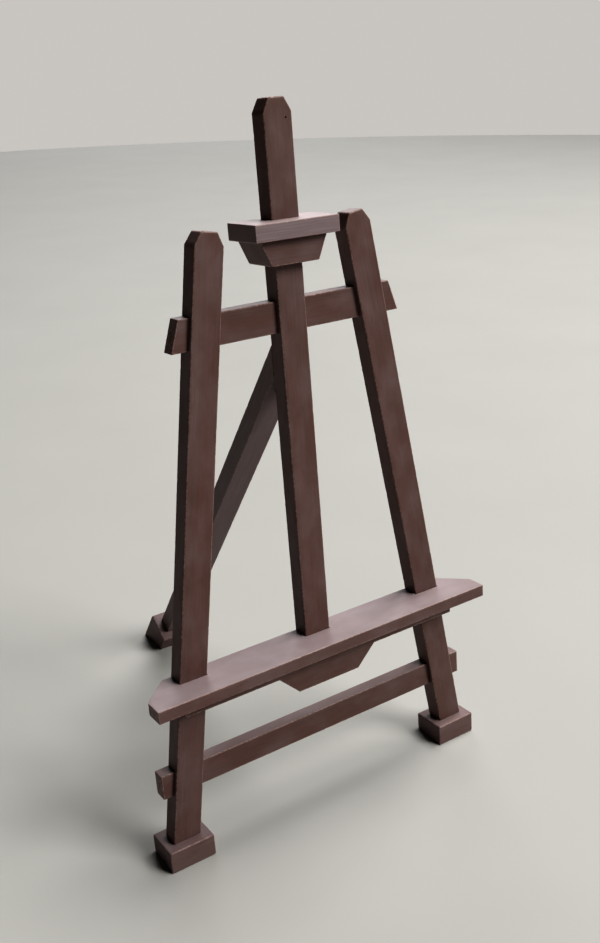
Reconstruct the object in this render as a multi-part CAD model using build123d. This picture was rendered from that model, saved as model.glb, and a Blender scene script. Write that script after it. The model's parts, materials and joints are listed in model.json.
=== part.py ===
from build123d import *
import os
from math import cos, radians, sin, sqrt, tan

# A tabletop display easel in millimetres: an A-frame of two splayed legs and a mast that
# leans back, two rails half-lapped into it, a tray with a shaped apron, a holder that slides
# on the mast under a thumbscrew, and a back leg that folds on a small butt hinge.
#
# Every piece is drawn with the frame upright: X runs across, Y runs back through the frame's
# thickness from its front face, and Z runs up the frame from the floor line. place() then
# leans the frame back, so the feet's undersides, cut on the slant, come down flat on Z = 0.

# Frame stock
MEMBER_WIDTH = 15.0
MEMBER_DEPTH = 10.0
LEAN = 5.0
CLIP_ACROSS = 3.5
CLIP_DOWN = 6.3

# Legs and mast
LEG_FOOT_X = 88.8
LEG_TOP_X = 39.2
LEG_TOP = 307.0
MAST_TOP = 360.0

# Feet
FOOT_WIDTH = 25.0
FOOT_DEPTH = 20.0
FOOT_TOP = 11.7
FOOT_RECESS = 1.6

# Rails
RAIL_FRONT = 2.5
UPPER_RAIL_BOTTOM = 256.2
UPPER_RAIL_HEIGHT = 15.0
UPPER_RAIL_TOP_LENGTH = 116.6
UPPER_RAIL_BOTTOM_LENGTH = 126.8
LOWER_RAIL_BOTTOM = 37.7
LOWER_RAIL_HEIGHT = 13.2
LOWER_RAIL_LENGTH = 191.2

# Tray and apron
TRAY_LENGTH = 200.0
TRAY_TOP = 98.4
TRAY_THICKNESS = 6.6
TRAY_OVERHANG = 16.0
TRAY_END = 10.7
TRAY_CLIP = 15.0
APRON_THICKNESS = 7.9
APRON_STRIP_LENGTH = 165.4
APRON_STRIP_HEIGHT = 7.3
APRON_HEIGHT = 18.3
APRON_TOP_WIDTH = 59.4
APRON_BOTTOM_WIDTH = 37.0

# Sliding holder
HOLDER_BOTTOM = 288.2
BRACKET_HEIGHT = 11.8
BRACKET_TOP_WIDTH = 36.2
BRACKET_BOTTOM_WIDTH = 25.7
BRACKET_FRONT = -6.0
BAR_HEIGHT = 7.9
BAR_LENGTH = 45.0
BAR_FRONT = -10.3
HOLDER_BACK = 14.5
SLIDE_GAP = 0.15

# Thumbscrew and its threaded insert
THREAD_RADIUS = 2.0
INSERT_RADIUS = 3.0
INSERT_FLANGE_RADIUS = 4.0
INSERT_FLANGE = 0.8
INSERT_SET_BACK = 0.5
KNOB_RADIUS = 6.0
KNOB_THICKNESS = 6.5
KNOB_COLLAR_RADIUS = 3.4
KNOB_COLLAR = 1.0
KNOB_FLUTES = 20
FLUTE_RADIUS = 0.55
TIP_GAP = 0.05

# Back leg and its hinge
BACK_LEG_ANGLE = 39.3
BACK_LEG_VERTEX = 233.8
BACK_LEG_LENGTH = 264.2
BEVEL_GAP = 0.1
HINGE_OFFSET = 1.7
BARREL_RADIUS = 1.45
HINGE_WIDTH = 6.0
LEAF_THICKNESS = 0.8
LEAF_LENGTH = 7.0
MIDDLE_KNUCKLE = 2.0
KNUCKLE_GAP = 0.15
PIN_RADIUS = 0.5
PIN_HEAD_RADIUS = 0.9
PIN_HEAD = 0.3

# Fits
RUNNING_GAP = 0.05
FIXED_GAP = 0.02

# Screws: head radius, shank radius, length
FRAME_SCREW = (2.5, 1.25, 8.5)
APRON_SCREW = (2.5, 1.25, 15.0)
TRAY_SCREW = (2.3, 1.15, 12.0)
FOOT_SCREW = (2.6, 1.4, 20.0)
HOLDER_SCREW = (2.0, 1.0, 16.0)
HINGE_SCREW = (1.1, 0.55, 5.0)
HINGE_SCREW_SPOTS = [(-1.4, 3.2), (1.4, 5.6)]
TRAY_SCREW_X = [-60.0, -38.0, 38.0, 60.0]
HOLDER_SCREW_X = [-10.2, 10.2]

# Worked out from the above
HALF_WIDTH = MEMBER_WIDTH / 2
HALF_DEPTH = MEMBER_DEPTH / 2
SPLAY_SLOPE = (LEG_FOOT_X - LEG_TOP_X) / LEG_TOP
LAP_PLANE = (RAIL_FRONT + MEMBER_DEPTH) / 2
TRAY_BOTTOM = TRAY_TOP - TRAY_THICKNESS
STRIP_BOTTOM = TRAY_BOTTOM - APRON_STRIP_HEIGHT
APRON_BOTTOM = TRAY_BOTTOM - APRON_HEIGHT
BAR_BOTTOM = HOLDER_BOTTOM + BRACKET_HEIGHT
THUMBSCREW_HEIGHT = HOLDER_BOTTOM + BRACKET_HEIGHT / 2
FLOOR_SLOPE = tan(radians(LEAN))
BACK_COS = cos(radians(BACK_LEG_ANGLE))
BACK_SIN = sin(radians(BACK_LEG_ANGLE))
HALF_ANGLE = radians(BACK_LEG_ANGLE / 2)
PIN_FROM_VERTEX = HINGE_OFFSET / sin(HALF_ANGLE)
PIN_Y = MEMBER_DEPTH + HINGE_OFFSET
PIN_Z = BACK_LEG_VERTEX - PIN_FROM_VERTEX * cos(HALF_ANGLE)
BIG = 400.0


def leg_x(height):
    """How far a leg's centreline stands from the middle at a height."""
    return LEG_FOOT_X - SPLAY_SLOPE * height


def back_leg_point(along, through):
    """A point of the back leg's side view, as (Y, Z), along it from the bevel and through it."""
    y = MEMBER_DEPTH + BACK_SIN * along + BACK_COS * through
    z = BACK_LEG_VERTEX - BACK_COS * along + BACK_SIN * through
    return (y, z)


def along_to_floor(through):
    """How far down the back leg its line at this depth meets the floor."""
    y, z = back_leg_point(0, through)
    return (z - FLOOR_SLOPE * y) / (BACK_COS + FLOOR_SLOPE * BACK_SIN)


def floor_y(y, z):
    """The front-to-back place of an upright point once the frame leans."""
    return z * sin(radians(LEAN)) + y * cos(radians(LEAN))


FRONT_EDGE = floor_y(-TRAY_OVERHANG, TRAY_BOTTOM)
BACK_THROUGH = HALF_DEPTH + FOOT_DEPTH / 2
BACK_EDGE = floor_y(*back_leg_point(along_to_floor(BACK_THROUGH), BACK_THROUGH))
STAND = Pos(0, -(FRONT_EDGE + BACK_EDGE) / 2, 0) * Rot(-LEAN, 0, 0)


def place(shape):
    """Lean an upright piece back and centre the easel's footprint on the origin."""
    return STAND * shape


def front_plate(outline, front, back):
    """A piece cut to an (X, Z) outline, from one depth to another."""
    face = Plane.XZ.offset(-back) * make_face(Polyline(*outline, close=True))
    return extrude(face, amount=back - front, dir=(0, -1, 0))


def side_plate(outline, width):
    """A piece cut to a (Y, Z) outline, centred across the frame."""
    face = Plane.YZ.offset(-width / 2) * make_face(Polyline(*outline, close=True))
    return extrude(face, amount=width, dir=(1, 0, 0))


def level_plate(outline, bottom, top):
    """A piece cut to an (X, Y) outline, from one height to another."""
    face = Plane.XY.offset(bottom) * make_face(Polyline(*outline, close=True))
    return extrude(face, amount=top - bottom, dir=(0, 0, 1))


def block(x_range, y_range, z_range):
    """A box given by its lowest and highest places on each axis."""
    outline = [(x_range[0], y_range[0]), (x_range[1], y_range[0]),
               (x_range[1], y_range[1]), (x_range[0], y_range[1])]
    return level_plate(outline, *z_range)


def rod(radius, start, length, direction):
    """A round bar from a point along a direction."""
    return extrude(Plane(origin=start, z_dir=direction) * Circle(radius), amount=length)


def wood_screw(size, start, direction):
    """A countersunk wood screw with its head's face at start, driven along a direction."""
    head, shank, length = size
    head_depth = head - shank
    tip = 2 * shank
    profile = Polyline((0, 0), (head, 0), (shank, head_depth), (shank, length - tip),
                       (shank / 4, length), (0, length), close=True)
    body = revolve(Plane.XZ * make_face(profile), Axis.Z)
    slot = head_depth / 2
    cross = Box(head * 1.1, shank / 2, 2 * slot) + Box(shank / 2, head * 1.1, 2 * slot)
    return Plane(origin=start, z_dir=direction) * (body - cross)


def screw_hole(size, start, direction, head_room=0.0):
    """The clearance that one wood screw needs, with room above its head where it is sunk."""
    head, shank, length = size
    gap = FIXED_GAP
    head_depth = head - shank
    profile = Polyline((0, -head_room), (head + gap, -head_room), (head + gap, gap),
                       (shank + gap, head_depth + gap), (shank + gap, length + gap),
                       (0, length + gap), close=True)
    body = revolve(Plane.XZ * make_face(profile), Axis.Z)
    return Plane(origin=start, z_dir=direction) * body


def screw_set(size, spots, head_room=0.0):
    """The screws of one node and the holes they need, each spot as (start, direction)."""
    screws = Compound([wood_screw(size, *spot) for spot in spots])
    holes = [screw_hole(size, *spot, head_room=head_room) for spot in spots]
    return screws, holes


def drilled(shape, *groups):
    """A piece with every hole of the groups cut out of it."""
    for group in groups:
        for hole in group:
            shape = shape - hole
    return shape


# Blanks, before any joint is cut

def leg_blank(side):
    """A splayed leg with its top square to its length and both corners clipped."""
    length = sqrt(LEG_TOP ** 2 + (LEG_FOOT_X - LEG_TOP_X) ** 2)
    lean_in = (LEG_FOOT_X - LEG_TOP_X) / length
    rise = LEG_TOP / length

    def point(along, across):
        x = -LEG_FOOT_X + lean_in * along + rise * across
        return (-side * x, rise * along - lean_in * across)

    def at_foot(across):
        along = (FOOT_TOP + lean_in * across) / rise
        return point(along, across)

    inner = HALF_WIDTH - CLIP_ACROSS
    outline = [at_foot(-HALF_WIDTH), point(length - CLIP_DOWN, -HALF_WIDTH), point(length, -inner),
               point(length, inner), point(length - CLIP_DOWN, HALF_WIDTH), at_foot(HALF_WIDTH)]
    return front_plate(outline, 0, MEMBER_DEPTH)


def mast_blank():
    """The middle post, with both top corners clipped."""
    inner = HALF_WIDTH - CLIP_ACROSS
    shoulder = MAST_TOP - CLIP_DOWN
    outline = [(-HALF_WIDTH, APRON_BOTTOM), (HALF_WIDTH, APRON_BOTTOM), (HALF_WIDTH, shoulder),
               (inner, MAST_TOP), (-inner, MAST_TOP), (-HALF_WIDTH, shoulder)]
    return front_plate(outline, 0, MEMBER_DEPTH)


def rail_blank(bottom, height, bottom_length, top_length):
    """A cross rail, flush with the frame's back, with its ends cut to the two lengths."""
    low, high = bottom_length / 2, top_length / 2
    outline = [(-low, bottom), (low, bottom), (high, bottom + height), (-high, bottom + height)]
    return front_plate(outline, RAIL_FRONT, MEMBER_DEPTH)


def front_half(shape):
    """What a post keeps at a half-lap: the part in front of the lap plane."""
    return shape & block((-BIG, BIG), (-BIG, LAP_PLANE), (-BIG, BIG))


def back_half(shape):
    """What a rail keeps at a half-lap: the part behind the lap plane."""
    return shape & block((-BIG, BIG), (LAP_PLANE, BIG), (-BIG, BIG))


# Screw places

def rail_screw_spots():
    """One screw from the back at every half-lap."""
    upper = UPPER_RAIL_BOTTOM + UPPER_RAIL_HEIGHT / 2
    lower = LOWER_RAIL_BOTTOM + LOWER_RAIL_HEIGHT / 2
    places = [(-leg_x(upper), upper), (0, upper), (leg_x(upper), upper),
              (-leg_x(lower), lower), (leg_x(lower), lower)]
    return [((x, MEMBER_DEPTH, z), (0, -1, 0)) for x, z in places]


def apron_screw_spots():
    """One screw from the back through each leg and the mast into the apron."""
    height = (STRIP_BOTTOM + TRAY_BOTTOM) / 2
    places = [-leg_x(height), 0, leg_x(height)]
    return [((x, MEMBER_DEPTH, height), (0, -1, 0)) for x in places]


def tray_screw_spots():
    """Screws from under the apron's strip up into the tray."""
    return [((x, -APRON_THICKNESS / 2, STRIP_BOTTOM), (0, 0, 1)) for x in TRAY_SCREW_X]


def front_foot_screw_spots():
    """One sunk screw from under each front foot up into its leg."""
    height = FLOOR_SLOPE * HALF_DEPTH + FOOT_RECESS
    return [((side * leg_x(FOOT_TOP), HALF_DEPTH, height), (0, 0, 1)) for side in (-1, 1)]


def back_foot_screw_spot():
    """One sunk screw from under the back foot up the back leg."""
    y, z = back_leg_point(along_to_floor(HALF_DEPTH) - 2 * FOOT_RECESS, HALF_DEPTH)
    return [((0, y, z), (0, -BACK_SIN, BACK_COS))]


def holder_screw_spots():
    """Screws from under the bracket up into the bar, one each side of the mast."""
    return [((x, HALF_DEPTH, HOLDER_BOTTOM), (0, 0, 1)) for x in HOLDER_SCREW_X]


def hinge_screw_spots():
    """The screws of the leaf on the mast, as the leaf lies on the mast's back."""
    return [((x, MEMBER_DEPTH + LEAF_THICKNESS, PIN_Z - down), (0, -1, 0))
            for x, down in HINGE_SCREW_SPOTS]


# Frame pieces

def tray_blank():
    """The tray with its two back corners clipped."""
    end = TRAY_LENGTH / 2
    corner = -TRAY_OVERHANG + TRAY_END
    outline = [(-end, -TRAY_OVERHANG), (end, -TRAY_OVERHANG), (end, corner),
               (end - TRAY_CLIP, MEMBER_DEPTH), (TRAY_CLIP - end, MEMBER_DEPTH), (-end, corner)]
    return level_plate(outline, TRAY_BOTTOM, TRAY_TOP)


def apron_blank():
    """A strip under the tray that drops to a shaped tongue in the middle."""
    end, top, low = APRON_STRIP_LENGTH / 2, APRON_TOP_WIDTH / 2, APRON_BOTTOM_WIDTH / 2
    outline = [(-end, TRAY_BOTTOM), (end, TRAY_BOTTOM), (end, STRIP_BOTTOM), (top, STRIP_BOTTOM),
               (low, APRON_BOTTOM), (-low, APRON_BOTTOM), (-top, STRIP_BOTTOM), (-end, STRIP_BOTTOM)]
    return front_plate(outline, -APRON_THICKNESS, 0)


def front_foot(side):
    """A foot block under a leg, its underside cut to lie flat on the floor."""
    front, back = HALF_DEPTH - FOOT_DEPTH / 2, HALF_DEPTH + FOOT_DEPTH / 2
    outline = [(front, FLOOR_SLOPE * front), (back, FLOOR_SLOPE * back), (back, FOOT_TOP),
               (front, FOOT_TOP)]
    return Pos(side * leg_x(FOOT_TOP), 0, 0) * side_plate(outline, FOOT_WIDTH)


# Back leg pieces

def back_leg_blank():
    """The back leg, bevelled at the top to bear on the mast's back when it is open."""
    slant = BACK_COS / BACK_SIN
    setback = BEVEL_GAP / BACK_SIN
    outline = [back_leg_point(setback, 0), back_leg_point(BACK_LEG_LENGTH, 0),
               back_leg_point(BACK_LEG_LENGTH, MEMBER_DEPTH),
               back_leg_point(setback - slant * MEMBER_DEPTH, MEMBER_DEPTH)]
    return side_plate(outline, MEMBER_WIDTH)


def back_foot_blank():
    """The back leg's foot, square to the leg on top and cut flat to the floor below."""
    near, far = HALF_DEPTH - FOOT_DEPTH / 2, HALF_DEPTH + FOOT_DEPTH / 2
    outline = [back_leg_point(BACK_LEG_LENGTH, near), back_leg_point(along_to_floor(near), near),
               back_leg_point(along_to_floor(far), far), back_leg_point(BACK_LEG_LENGTH, far)]
    return side_plate(outline, FOOT_WIDTH)


# Hinge pieces, drawn about the pin with the wood's face at Y = -HINGE_OFFSET

def knuckle_spans():
    """Where the leg's single knuckle and the mast's two knuckles lie along the pin."""
    middle = MIDDLE_KNUCKLE / 2
    end = HINGE_WIDTH / 2
    return [(-middle, middle)], [(-end, -middle - KNUCKLE_GAP), (middle + KNUCKLE_GAP, end)]


def hinge_leaf(own_spans, other_spans):
    """A leaf against the wood with its knuckles, cleared where the other leaf's knuckles turn."""
    end = HINGE_WIDTH / 2
    face = -HINGE_OFFSET
    leaf = block((-end, end), (face, face + LEAF_THICKNESS), (-LEAF_LENGTH, 0))
    for low, high in other_spans:
        room = BARREL_RADIUS + KNUCKLE_GAP
        leaf -= rod(room, (low - KNUCKLE_GAP, 0, 0), high - low + 2 * KNUCKLE_GAP, (1, 0, 0))
    for low, high in own_spans:
        leaf += rod(BARREL_RADIUS, (low, 0, 0), high - low, (1, 0, 0))
    return leaf - rod(PIN_RADIUS + RUNNING_GAP, (-end - 1, 0, 0), HINGE_WIDTH + 2, (1, 0, 0))


def hinge_pin():
    """The hinge's pin, peened over at both ends."""
    end = HINGE_WIDTH / 2
    pin = rod(PIN_RADIUS, (-end - RUNNING_GAP, 0, 0), HINGE_WIDTH + 2 * RUNNING_GAP, (1, 0, 0))
    for side in (-1, 1):
        pin += rod(PIN_HEAD_RADIUS, (side * (end + RUNNING_GAP), 0, 0), PIN_HEAD, (side, 0, 0))
    return pin


def turn_to_back_leg(shape):
    """Carry a piece from the mast's side of the pin to the back leg's side."""
    return Rot(BACK_LEG_ANGLE, 0, 0) * mirror(shape, about=Plane.XZ)


def about_pin(shape):
    """Carry a piece drawn about the pin to the pin's place."""
    return Pos(0, PIN_Y, PIN_Z) * shape


# Holder pieces

def mast_way():
    """The square way that the holder needs round the mast."""
    across = HALF_WIDTH + SLIDE_GAP
    return block((-across, across), (-SLIDE_GAP, MEMBER_DEPTH + SLIDE_GAP), (0, BIG))


def bracket_blank():
    """The wedge-shaped block under the holder's bar."""
    low, high = BRACKET_BOTTOM_WIDTH / 2, BRACKET_TOP_WIDTH / 2
    outline = [(-low, HOLDER_BOTTOM), (low, HOLDER_BOTTOM), (high, BAR_BOTTOM), (-high, BAR_BOTTOM)]
    return front_plate(outline, BRACKET_FRONT, HOLDER_BACK)


def bar_blank():
    """The bar whose front edge keeps the canvas in."""
    end = BAR_LENGTH / 2
    return block((-end, end), (BAR_FRONT, HOLDER_BACK), (BAR_BOTTOM, BAR_BOTTOM + BAR_HEIGHT))


def screw_axis(radius, start, length):
    """A round bar on the thumbscrew's line, from one depth backwards."""
    return rod(radius, (0, start, THUMBSCREW_HEIGHT), length, (0, 1, 0))


def insert_seat():
    """The stepped hole that the threaded insert sits in."""
    start = MEMBER_DEPTH + INSERT_SET_BACK
    seat = screw_axis(INSERT_RADIUS + FIXED_GAP, start, BIG)
    return seat + screw_axis(THREAD_RADIUS + 0.3, MEMBER_DEPTH - 1, BIG)


def threaded_insert():
    """A flanged insert in the bracket's back wall, its bore clearing the thumbscrew."""
    start = MEMBER_DEPTH + INSERT_SET_BACK + FIXED_GAP
    insert = screw_axis(INSERT_RADIUS, start, HOLDER_BACK - start)
    insert += screw_axis(INSERT_FLANGE_RADIUS, HOLDER_BACK, INSERT_FLANGE)
    return insert - screw_axis(THREAD_RADIUS + RUNNING_GAP, start - 1, BIG)


def thumbscrew():
    """A fluted knob on a threaded shank whose tip grips the mast's back."""
    tip = MEMBER_DEPTH + TIP_GAP
    collar = HOLDER_BACK + INSERT_FLANGE + 0.3
    knob = collar + KNOB_COLLAR
    screw = screw_axis(THREAD_RADIUS, tip, knob - tip)
    screw += screw_axis(KNOB_COLLAR_RADIUS, collar, KNOB_COLLAR)
    head = screw_axis(KNOB_RADIUS, knob, KNOB_THICKNESS)
    rims = head.edges().filter_by(GeomType.CIRCLE).sort_by(Axis.Y)
    head = chamfer(rims, 0.6)
    for index in range(KNOB_FLUTES):
        turn = Rot(0, 360 * index / KNOB_FLUTES, 0)
        flute = rod(FLUTE_RADIUS, (KNOB_RADIUS, knob - 1, 0), KNOB_THICKNESS + 2, (0, 1, 0))
        head -= Pos(0, 0, THUMBSCREW_HEIGHT) * (turn * flute)
    return screw + head


def build_easel():
    """Cut every joint and hole, and return each piece, upright, by name."""
    legs = {side: leg_blank(side) for side in (-1, 1)}
    mast = mast_blank()
    upper = rail_blank(UPPER_RAIL_BOTTOM, UPPER_RAIL_HEIGHT, UPPER_RAIL_BOTTOM_LENGTH,
                       UPPER_RAIL_TOP_LENGTH)
    lower = rail_blank(LOWER_RAIL_BOTTOM, LOWER_RAIL_HEIGHT, LOWER_RAIL_LENGTH, LOWER_RAIL_LENGTH)

    rail_screws, rail_holes = screw_set(FRAME_SCREW, rail_screw_spots())
    apron_screws, apron_holes = screw_set(APRON_SCREW, apron_screw_spots())
    tray_screws, tray_holes = screw_set(TRAY_SCREW, tray_screw_spots())
    foot_screws, foot_holes = screw_set(FOOT_SCREW, front_foot_screw_spots(), 3 * FOOT_RECESS)
    back_screw, back_hole = screw_set(FOOT_SCREW, back_foot_screw_spot(), 6 * FOOT_RECESS)
    holder_screws, holder_holes = screw_set(HOLDER_SCREW, holder_screw_spots())
    hinge_screws, hinge_holes = screw_set(HINGE_SCREW, hinge_screw_spots())

    leg_knuckle, mast_knuckles = knuckle_spans()
    mast_leaf = about_pin(hinge_leaf(mast_knuckles, leg_knuckle))
    leg_leaf = about_pin(turn_to_back_leg(hinge_leaf(leg_knuckle, mast_knuckles)))
    to_pin = Pos(0, -PIN_Y, -PIN_Z)
    leg_hinge_screws = about_pin(turn_to_back_leg(to_pin * hinge_screws))
    leg_hinge_holes = [about_pin(turn_to_back_leg(to_pin * hole)) for hole in hinge_holes]

    posts = legs[-1] + legs[1] + mast
    pieces = {}
    for side, name in ((-1, "left"), (1, "right")):
        leg = legs[side] - back_half(lower) - back_half(upper)
        pieces[name + "_leg"] = drilled(leg, rail_holes, apron_holes, foot_holes)
        pieces[name + "_foot"] = drilled(front_foot(side), foot_holes)
    pieces["mast"] = drilled(mast - back_half(upper), rail_holes, apron_holes, hinge_holes)
    pieces["upper_rail"] = drilled(upper - front_half(posts), rail_holes)
    pieces["lower_rail"] = drilled(lower - front_half(legs[-1] + legs[1]), rail_holes)
    pieces["tray"] = drilled(tray_blank() - posts, tray_holes)
    pieces["tray_apron"] = drilled(apron_blank(), apron_holes, tray_holes)
    pieces["rail_screws"] = rail_screws
    pieces["apron_screws"] = apron_screws
    pieces["tray_screws"] = tray_screws
    pieces["front_foot_screws"] = foot_screws
    pieces["hinge_mast_leaf"] = drilled(mast_leaf, hinge_holes)
    pieces["hinge_mast_screws"] = hinge_screws
    pieces["hinge_pin"] = about_pin(hinge_pin())

    pieces["back_leg"] = drilled(back_leg_blank(), leg_hinge_holes, back_hole)
    pieces["back_foot"] = drilled(back_foot_blank(), back_hole)
    pieces["back_foot_screw"] = back_screw
    pieces["hinge_leg_leaf"] = drilled(leg_leaf, leg_hinge_holes)
    pieces["hinge_leg_screws"] = leg_hinge_screws

    pieces["holder_bar"] = drilled(bar_blank() - mast_way(), holder_holes)
    pieces["holder_bracket"] = drilled(bracket_blank() - mast_way() - insert_seat(), holder_holes)
    pieces["holder_screws"] = holder_screws
    pieces["threaded_insert"] = threaded_insert()
    pieces["thumbscrew"] = thumbscrew()
    return pieces


os.makedirs("parts", exist_ok=True)
for piece_name, piece in build_easel().items():
    export_step(place(piece), f"parts/{piece_name}.step")

print("hinge pin at", place(Pos(0, PIN_Y, PIN_Z)).position)
print("thumbscrew at", place(Pos(0, MEMBER_DEPTH, THUMBSCREW_HEIGHT)).position)
print("mast front at", place(Pos(0, 0, 200)).position)
print("tray top at", place(Pos(0, -TRAY_OVERHANG / 2, TRAY_TOP)).position)
print("front foot at", place(Pos(leg_x(FOOT_TOP), 0, 0)).position)
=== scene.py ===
"""Looks for a tabletop A-frame easel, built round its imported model.

Every wooden piece is one surface: a rounded rectangle carried along the piece, whose sides,
slants and ends change from station to station. Metal pieces keep their own shape.
"""
import json
import math
from collections import namedtuple

import bmesh
import bpy
import numpy as np
from mathutils import Matrix, Vector


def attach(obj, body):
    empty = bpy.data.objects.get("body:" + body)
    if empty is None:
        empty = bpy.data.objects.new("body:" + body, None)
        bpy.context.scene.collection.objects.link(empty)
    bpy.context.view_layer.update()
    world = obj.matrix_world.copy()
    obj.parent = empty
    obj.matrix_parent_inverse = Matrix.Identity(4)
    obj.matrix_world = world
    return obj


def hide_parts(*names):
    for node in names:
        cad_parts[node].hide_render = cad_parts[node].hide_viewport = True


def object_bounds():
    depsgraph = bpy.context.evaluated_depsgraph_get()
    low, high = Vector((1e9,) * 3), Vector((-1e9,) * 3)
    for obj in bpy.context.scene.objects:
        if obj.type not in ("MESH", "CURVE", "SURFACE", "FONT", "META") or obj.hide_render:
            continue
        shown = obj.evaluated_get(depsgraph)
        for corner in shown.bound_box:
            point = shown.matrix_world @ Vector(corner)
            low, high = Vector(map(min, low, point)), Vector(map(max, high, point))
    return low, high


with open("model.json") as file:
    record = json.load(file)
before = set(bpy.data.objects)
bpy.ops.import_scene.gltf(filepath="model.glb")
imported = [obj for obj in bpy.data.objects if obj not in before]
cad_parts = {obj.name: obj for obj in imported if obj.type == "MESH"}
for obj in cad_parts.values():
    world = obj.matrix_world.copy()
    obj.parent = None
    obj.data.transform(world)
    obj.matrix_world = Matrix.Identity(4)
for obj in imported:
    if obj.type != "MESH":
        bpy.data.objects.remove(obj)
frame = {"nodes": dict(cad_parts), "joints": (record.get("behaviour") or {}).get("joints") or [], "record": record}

bl_info = {
    "name": "Tabletop Easel",
    "version": (1, 0, 0),
    "blender": (4, 5, 0),
    "location": "3D View > Sidebar > Easel",
    "description": "Builds the wooden pieces, finishes and stage of a tabletop easel",
    "category": "Add Mesh",
}

MM = 0.001
CAD_BOX = [list(corner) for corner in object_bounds()]
JOINTS = {joint["name"]: joint for joint in frame["joints"]}

# The leaning frame's own directions: across, back and up
UP = np.array(JOINTS["holder_slide"]["axis"], float)
BACK = np.array(JOINTS["thumbscrew_turn"]["axis"], float)
BOARD = np.array(((1.0, 0.0, 0.0), BACK, UP))
LEAN_SLOPE = UP[1] / UP[2]
X, Y, Z = (1, 0, 0), (0, 1, 0), (0, 0, 1)

# Each wooden piece's own random draws, and what is added for its nicks and its grain
SEEDS = {"left_leg": 11, "right_leg": 12, "mast": 13, "upper_rail": 21, "lower_rail": 22,
         "tray": 31, "tray_apron": 32, "left_foot": 41, "right_foot": 42, "back_leg": 51,
         "back_foot": 52, "holder_bracket": 61, "holder_bar": 62}
CHIP_SEED = 7
GRAIN_SEED = 100

# Lengths in metres; the pairs are the outside and the fall of a hollow, in its own radii
TOUCH = 2e-5         # points this near a plane lie on it
SHOULDER = 1e-9      # keys this near each other are at one place
SAME_PLACE = 1e-7    # points this near each other become one
SLIDE_GAP = 0.15 * MM
SCREW_HEAD = 2.5 * MM
SCREW_SPACE = 3 * MM    # a wider gap parts two heads
SCREW_DISH, DISH_DEPTH = (1.45, 0.4), 0.28 * MM
SCREW_HOLE, HOLE_DEPTH = (0.88, 0.1), 1.5 * MM
PRICK = 0.45 * MM
PRICK_HOLE, PRICK_DEPTH = (1.0, 0.5), 0.8 * MM
MAST_PRICK_BELOW, MAST_PRICK_ASIDE = 9.0 * MM, 4.1 * MM
FOOT_HOLE = (2.62 * MM, 3.0 * MM)    # radius, depth
HOLE_RIM = 0.1 * MM
COLLAR_RIM = 0.3 * MM
EDGE_REACH = 2.0 * MM    # wear fades out this far from an edge
BEVEL_REACH = 6 * MM     # the back leg is square this far below its bevel
STRIP_INSIDE = 0.9       # of half the apron, to leave its ends out

# Where the rings' points and the rings over an end lie
ARC_TURNS = np.radians((0.0, 18.0, 36.0, 54.0, 72.0, 90.0))
RIM_STEPS = np.array((0.35, 0.9, 1.8)) * MM
RIM_CLEAR = 1.3      # even lines keep this many times the last rim step from a corner
LINE_STEP = 1.6 * MM
NEAR_END = 0.02      # lines asked for nearer a corner than this are left out
SCREW_DETAIL = np.arange(-1.5, 1.51, 0.125) * SCREW_HEAD
PRICK_DETAIL = np.arange(-1.5, 1.51, 0.25) * PRICK
POLE_STEPS = (0.8, 0.55, 0.28)
HOLE_STEPS = (0.6, 0.3)
COLLAR_STEPS = (0.7, 0.35)
RIM_SHARE = 0.3
FACING = 0.99        # directions beyond this belong to a flat face
SHARP_ANGLE = math.radians(38)

# Unevenness as (wave length, turns round, share), and the nicks' wave lengths
RIPPLES = ((0.061, 1, 0.5), (0.023, 2, 0.3), (0.0091, 3, 0.2))
CHIP_LENGTHS = (0.0173, 0.0079, 0.0047, 0.0031)
CHIP_TURN, CHIP_FLOOR, CHIP_LIMIT = 2.4, 2.0, 1.4

# How often each pattern of the finishes repeats in a metre, along the fibres and across them
FIBRE, PORES, BANDS = (34, 1500, 1500), (120, 3400, 3400), (5, 190, 190)
BLOTCH, SPECK = (45, 80, 80), (900, 900, 900)
TARNISH, SCRATCH = (260, 260, 260), (500, 4200, 4200)
GRAIN_SHIFT = 0.4

# The patterns' ramps of (place, value), how strongly they show, and their relief
DARK_FIBRES = ((0.25, 0.48), (0.66, 1.0))
RED_BANDS, RED_SHARE = ((0.42, 0.0), (0.66, 1.0)), 0.55
GREY_BLOTCHES, GREY_SHARE = ((0.40, 0.0), (0.75, 1.0)), 0.30
# The painted sheen, a grey painted over whole pieces in place of the sheen of light on them, shows most on lighter
# fibres
SHEEN_FIBRES = ((0.30, 0.5), (0.62, 1.0))
# Blotches break up the painted top light, a paler colour painted on upward faces in place of light from above
TOP_LIGHT_BLOTCHES = ((0.25, 0.75), (0.65, 1.0))
RUBBED_EDGES, RUBBED_SPECKS = ((0.60, 0.0), (0.88, 1.0)), ((0.44, 0.15), (0.60, 1.0))
SCUFFS, SCUFF_SHARE = ((0.66, 0.0), (0.74, 1.0)), 0.5
SCUFFS_ON_EDGES, SCUFFS_ANYWHERE = 0.8, 0.12
FIBRE_ROUGHNESS, RUBBED_SMOOTHNESS = 0.22, 0.08
FIBRE_RELIEF, PORE_RELIEF = (0.35, 0.10 * MM), (0.25, 0.05 * MM)
SPECK_RELIEF, SCRATCH_RELIEF = (0.12, 0.05 * MM), (0.2, 0.03 * MM)
WOOD_SHEEN = {"Specular IOR Level": 0.3, "Sheen Weight": 0.05, "Sheen Roughness": 0.5,
              "Sheen Tint": (0.95, 0.84, 0.88, 1)}
TARNISH_CLOUDS, TARNISH_ROUGHNESS = ((0.38, 0.0), (0.68, 1.0)), 0.25

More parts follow.
